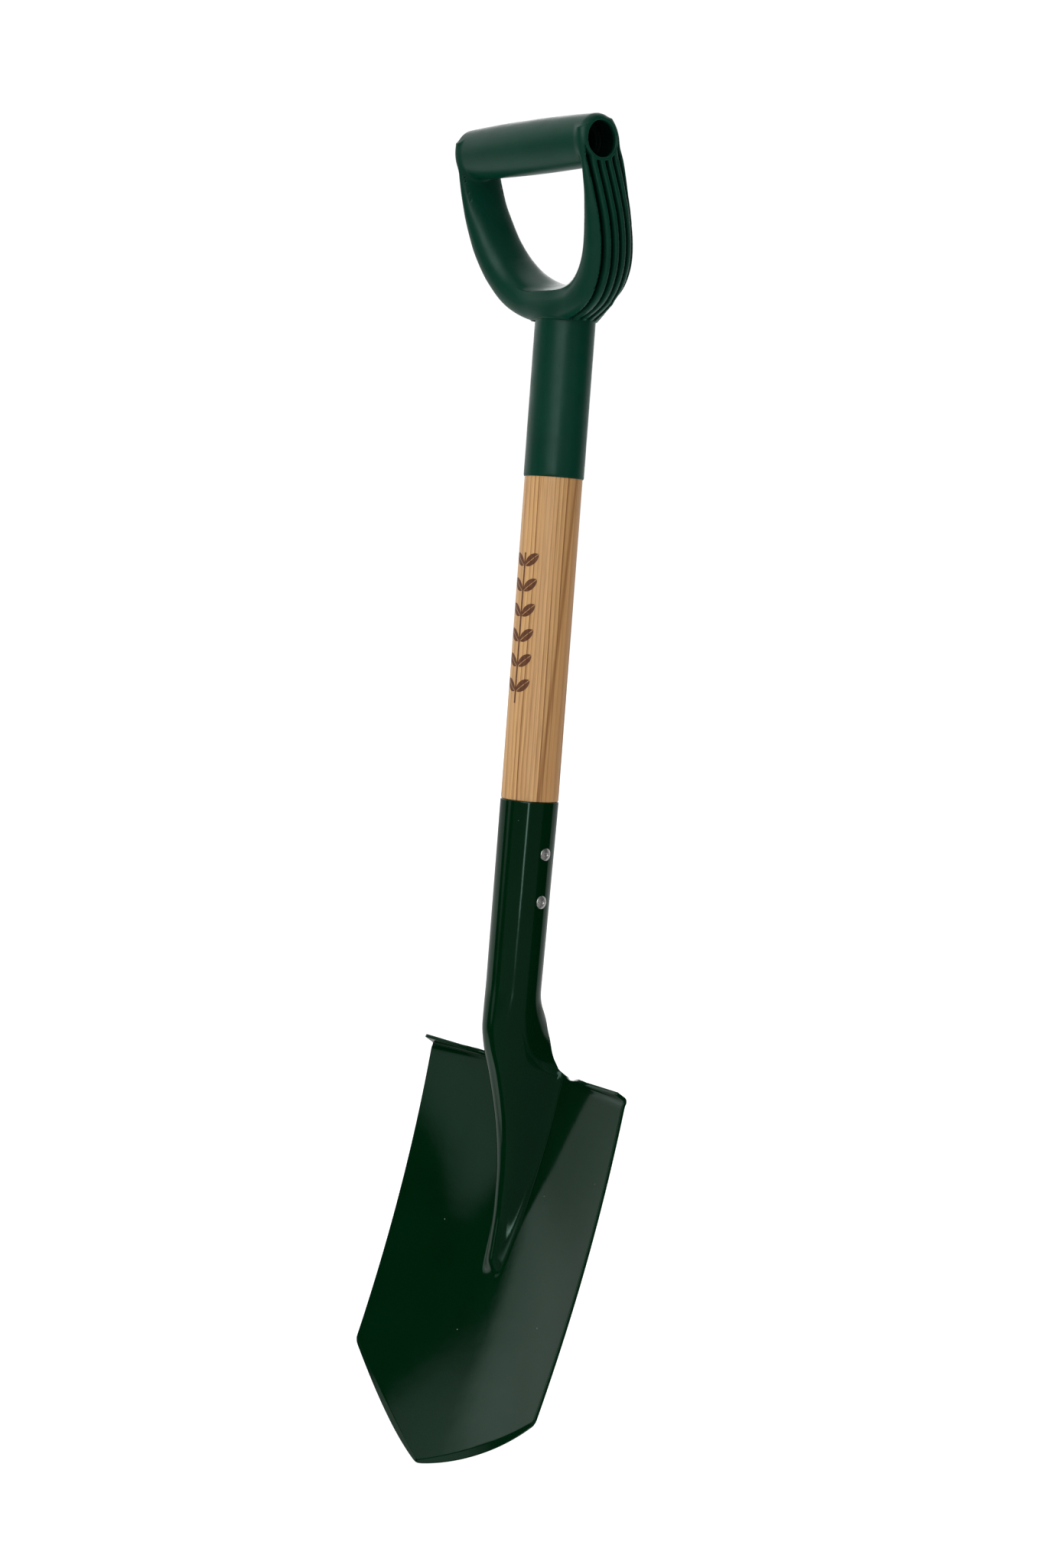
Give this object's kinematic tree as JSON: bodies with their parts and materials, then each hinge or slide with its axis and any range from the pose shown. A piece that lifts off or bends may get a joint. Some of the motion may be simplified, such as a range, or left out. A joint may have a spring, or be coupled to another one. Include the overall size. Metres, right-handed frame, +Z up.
{
  "type": "garden spade",
  "caption": "Digging spade with a pointed dished steel blade, folded treads, riveted ash shaft and a D grip that leans forward.",
  "frame": {"origin": "middle of the grip's crossbar, on the axis of its through hole", "axes": "+Z up along the shaft with the grip at the top, +X along the crossbar, -Y towards the hollow face of the blade"},
  "size_m": [0.191, 0.076, 0.8292],
  "materials": {
    "steel_paint": "gloss dark green enamel on pressed steel",
    "ash_wood": "clear satin lacquer on straight-grained ash",
    "grip_plastic": "satin injection-moulded dark green plastic",
    "rivet_steel": "bright zinc-plated steel"
  },
  "bodies": {
    "root": {"blade_socket": "steel_paint", "shaft": "ash_wood", "d_grip": "grip_plastic", "rivet_upper": "rivet_steel", "rivet_lower": "rivet_steel", "grip_screw": "rivet_steel"}
  },
  "joints": []
}
